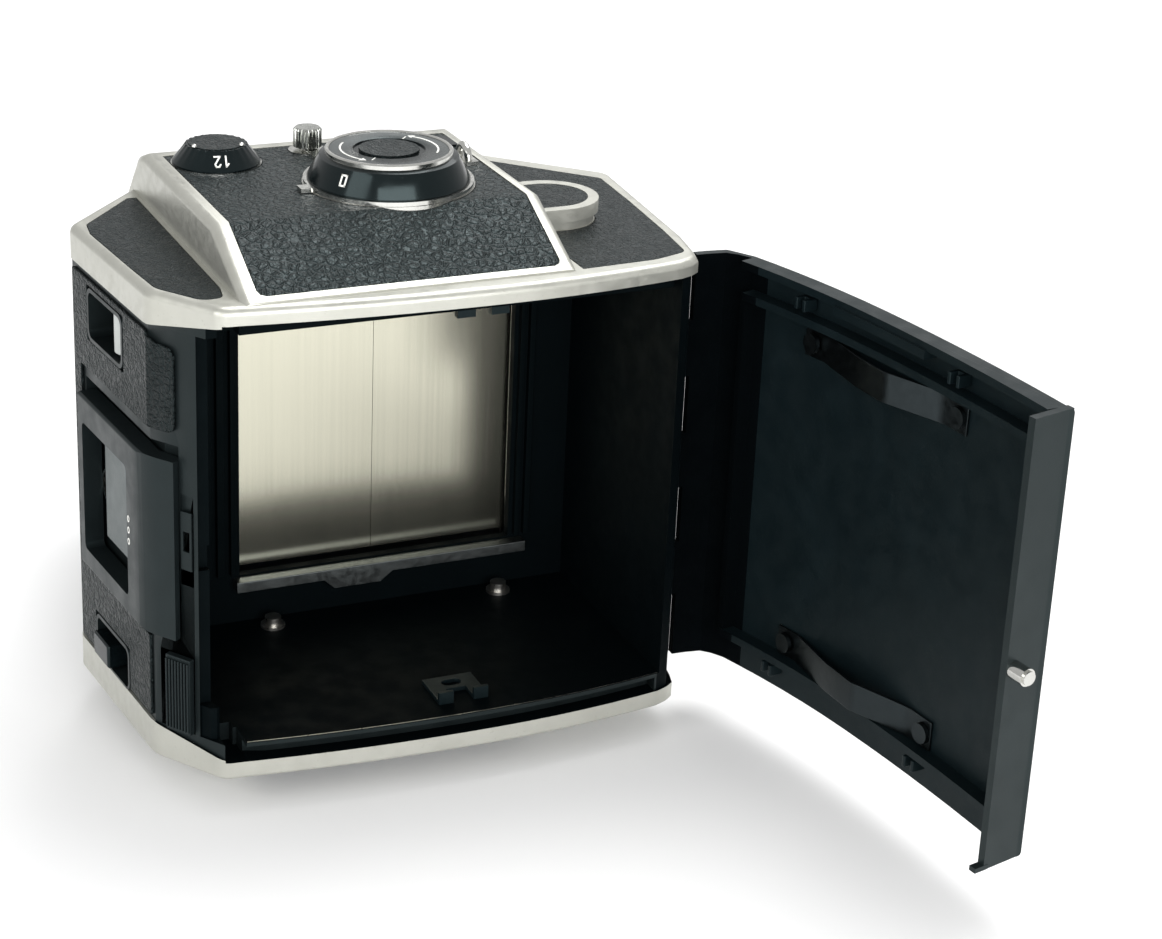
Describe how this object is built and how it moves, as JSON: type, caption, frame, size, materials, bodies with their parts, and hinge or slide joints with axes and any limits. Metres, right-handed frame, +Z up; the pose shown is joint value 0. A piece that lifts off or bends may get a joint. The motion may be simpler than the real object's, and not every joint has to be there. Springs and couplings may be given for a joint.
{
  "type": "medium format reflex camera",
  "caption": "Box-shaped medium format reflex camera lying on its side, back door open onto the film chamber, with lens, finder, dials and latch.",
  "frame": {"origin": "centre of the flat face of the lower side plateau the camera rests on", "axes": "+Z up from the resting face, +X towards the finder (the camera's own top), -X towards its base and tripod bush, +Y towards the lens, -Y out of the open back"},
  "size_m": [0.1319, 0.2119, 0.112],
  "materials": {
    "body_black": "satin",
    "silver_cap": "satin",
    "leather": "coarse grain",
    "door_black": "satin",
    "latch_black": "satin",
    "pad_grey": "matte",
    "gloss_black": "gloss",
    "bright_chrome": "polished",
    "sill_metal": "satin",
    "blind_metal": "brushed",
    "lens_black": "satin",
    "lens_glass": "coated",
    "mirror_glass": "silvered"
  },
  "bodies": {
    "camera": {"body_shell": "body_black", "upper_side_cap": "silver_cap", "lower_side_cap": "silver_cap", "plateau_leather": "leather", "left_shoulder_leather": "leather", "right_shoulder_leather": "leather", "boss_leather": "leather", "lower_plateau_leather": "leather", "base_leather": "leather", "foot_pad": "pad_grey", "tripod_bush": "bright_chrome", "release_collar": "bright_chrome", "gate_frame": "body_black", "gate_sill_bar": "sill_metal", "locating_studs": "sill_metal", "insert_bracket": "body_black", "ceiling_clips": "body_black", "latch_guide": "body_black", "mirror_box": "body_black", "focusing_screen": "lens_glass", "mirror_axle": "bright_chrome", "blind_axles": "bright_chrome", "finder_base": "body_black", "hood_hinge": "bright_chrome", "lens_mount_ring": "bright_chrome", "lens_barrel": "lens_black", "rear_glass": "lens_glass", "front_glass": "lens_glass", "iris_ring": "body_black", "dial_seat": "bright_chrome", "selector_seat": "bright_chrome", "knob_seat": "bright_chrome", "strap_lug": "bright_chrome", "blank_plate": "gloss_black", "hinge_pin": "bright_chrome"},
    "door": {"back_door": "door_black", "latch_pin": "bright_chrome", "film_springs": "sill_metal", "spring_rivets": "sill_metal", "door_clips": "body_black"},
    "winding": {"winding_dial": "gloss_black", "dial_rim": "bright_chrome", "dial_leather": "leather"},
    "pointer": {"pointer_ring": "bright_chrome"},
    "selector": {"selector_dial": "gloss_black", "selector_leather": "leather"},
    "knob": {"knurled_knob": "bright_chrome"},
    "latch": {"latch_plate": "latch_black"},
    "catch": {"catch_slider": "latch_black"},
    "key": {"insert_release_key": "latch_black"},
    "slide": {"base_slide": "pad_grey"},
    "counter": {"counter_drum": "sill_metal"},
    "release": {"shutter_release": "sill_metal"},
    "mirror": {"mirror_carrier": "body_black", "reflex_mirror": "mirror_glass"},
    "blind_high": {"upper_blind": "blind_metal"},
    "blind_low": {"lower_blind": "blind_metal"},
    "focus": {"focus_ring": "lens_black"},
    "aperture": {"aperture_ring": "lens_black"},
    "hood": {"hood_lid": "body_black"}
  },
  "joints": [
    {"name": "door_hinge", "type": "hinge", "parent": "camera", "child": "door", "pos_m": [0.0496, -0.0252, 0.051], "axis": [0, 0, 1], "range_deg": [-98.9, 20]},
    {"name": "winding_turn", "type": "hinge", "parent": "camera", "child": "winding", "pos_m": [0.0005, -0.0023, 0.108], "axis": [0, 0, 1], "continuous": true},
    {"name": "pointer_turn", "type": "hinge", "parent": "camera", "child": "pointer", "pos_m": [0.0005, -0.0023, 0.106], "axis": [0, 0, 1], "range_deg": [-140, 60]},
    {"name": "selector_turn", "type": "hinge", "parent": "camera", "child": "selector", "pos_m": [-0.0257, 0.0187, 0.107], "axis": [0, 0, 1], "range_deg": [0, 90]},
    {"name": "knob_turn", "type": "hinge", "parent": "camera", "child": "knob", "pos_m": [-0.007, 0.0215, 0.107], "axis": [0, 0, 1], "continuous": true},
    {"name": "latch_travel", "type": "slide", "parent": "camera", "child": "latch", "axis": [0, 0, 1], "range_m": [0, 0.0023]},
    {"name": "catch_travel", "type": "slide", "parent": "camera", "child": "catch", "axis": [0, 0, 1], "range_m": [0, 0.0023]},
    {"name": "key_travel", "type": "slide", "parent": "camera", "child": "key", "axis": [-0.5668, 0.8239, 0], "range_m": [0, 0.0018], "stiffness_N_per_m": 300},
    {"name": "slide_travel", "type": "slide", "parent": "camera", "child": "slide", "axis": [0.0924, -0.9957, 0], "range_m": [0, 0.005]},
    {"name": "counter_turn", "type": "hinge", "parent": "camera", "child": "counter", "pos_m": [-0.04849, -0.00501, 0.083], "axis": [0, 0, 1], "continuous": true},
    {"name": "release_travel", "type": "slide", "parent": "camera", "child": "release", "axis": [0.7405, -0.672, 0], "range_m": [0, 0.0022], "stiffness_N_per_m": 400},
    {"name": "mirror_flip", "type": "hinge", "parent": "camera", "child": "mirror", "pos_m": [0.0354, 0.0164, 0.052], "axis": [0, 0, 1], "range_deg": [-44, 0]},
    {"name": "blind_high_flip", "type": "hinge", "parent": "camera", "child": "blind_high", "pos_m": [0.0325, 0.0149, 0.052], "axis": [0, 0, 1], "range_deg": [-88, 0]},
    {"name": "blind_low_flip", "type": "hinge", "parent": "camera", "child": "blind_low", "pos_m": [-0.0246, 0.0149, 0.052], "axis": [0, 0, 1], "range_deg": [0, 88]},
    {"name": "focus_turn", "type": "hinge", "parent": "camera", "child": "focus", "pos_m": [0.004, 0.075, 0.05225], "axis": [0, 1, 0], "range_deg": [0, 270]},
    {"name": "aperture_turn", "type": "hinge", "parent": "camera", "child": "aperture", "pos_m": [0.004, 0.082, 0.05225], "axis": [0, 1, 0], "range_deg": [0, 60]},
    {"name": "hood_flip", "type": "hinge", "parent": "camera", "child": "hood", "pos_m": [0.0593, 0.06, 0.052], "axis": [0, 0, 1], "range_deg": [0, 95]}
  ],
  "couplings": [
    {"joint": "catch_travel", "follows": "latch_travel", "ratio": 1},
    {"joint": "blind_high_flip", "follows": "mirror_flip", "ratio": 2},
    {"joint": "blind_low_flip", "follows": "mirror_flip", "ratio": -2}
  ]
}
